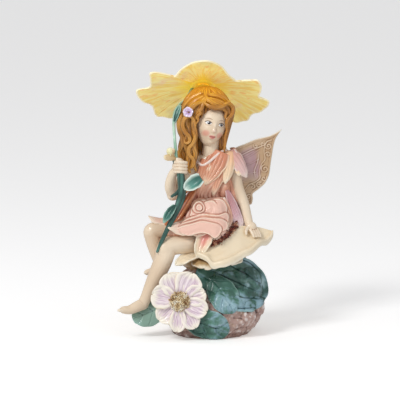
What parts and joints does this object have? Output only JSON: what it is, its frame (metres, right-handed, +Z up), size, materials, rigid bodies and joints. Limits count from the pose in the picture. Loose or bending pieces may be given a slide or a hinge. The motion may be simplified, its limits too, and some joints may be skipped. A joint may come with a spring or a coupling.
{
  "type": "solar garden figurine",
  "caption": "Painted resin fairy seated on an open blossom over a leafy rock, holding a lit flower as a parasol; solar cell and battery in the base.",
  "frame": {"origin": "middle of the base plate's underside, on the ground", "axes": "+Z up, -Y towards the front of the figure, +X to the viewer's right"},
  "size_m": [0.1642, 0.1291, 0.2794],
  "materials": {
    "painted_resin": "hand-painted cast resin, satin varnish",
    "wing_resin": "hand-painted cast resin, pearl wash",
    "bloom_plastic": "translucent painted moulding",
    "stem_green": "painted rod",
    "holder_white": "moulded",
    "lamp_epoxy": "clear warm-white lamp, lit",
    "panel_plastic": "moulded",
    "potted_cell": "epoxy-potted cell",
    "plate_black": "moulded, fine texture",
    "screw_steel": "zinc plated",
    "battery_wrap": "shrink sleeve, plain",
    "contact_steel": "nickel plated",
    "board_green": "soldermask",
    "switch_steel": "pressed cover",
    "knob_black": "moulded",
    "lead_black": "insulated lead",
    "lead_red": "insulated lead"
  },
  "bodies": {
    "figure": {"figure_casting": "painted_resin", "left_wing": "wing_resin", "right_wing": "wing_resin", "bloom_shade": "bloom_plastic", "upper_stem": "stem_green", "lamp_holder": "holder_white", "led": "lamp_epoxy", "panel_frame": "panel_plastic", "solar_cell": "potted_cell", "base_plate": "plate_black", "battery_door": "plate_black", "plate_screw_1": "screw_steel", "plate_screw_2": "screw_steel", "plate_screw_3": "screw_steel", "door_screw": "screw_steel", "battery": "battery_wrap", "positive_contact": "contact_steel", "negative_contact": "contact_steel", "circuit_board": "board_green", "switch_case": "switch_steel", "lamp_lead": "lead_black", "panel_lead": "lead_black", "battery_lead_red": "lead_red", "battery_lead_black": "lead_black", "switch_lead": "lead_black"},
    "knob": {"switch_knob": "knob_black"}
  },
  "joints": [
    {"name": "switch_slide", "type": "slide", "parent": "figure", "child": "knob", "axis": [1, 0, 0], "range_m": [0, 0.002]}
  ]
}
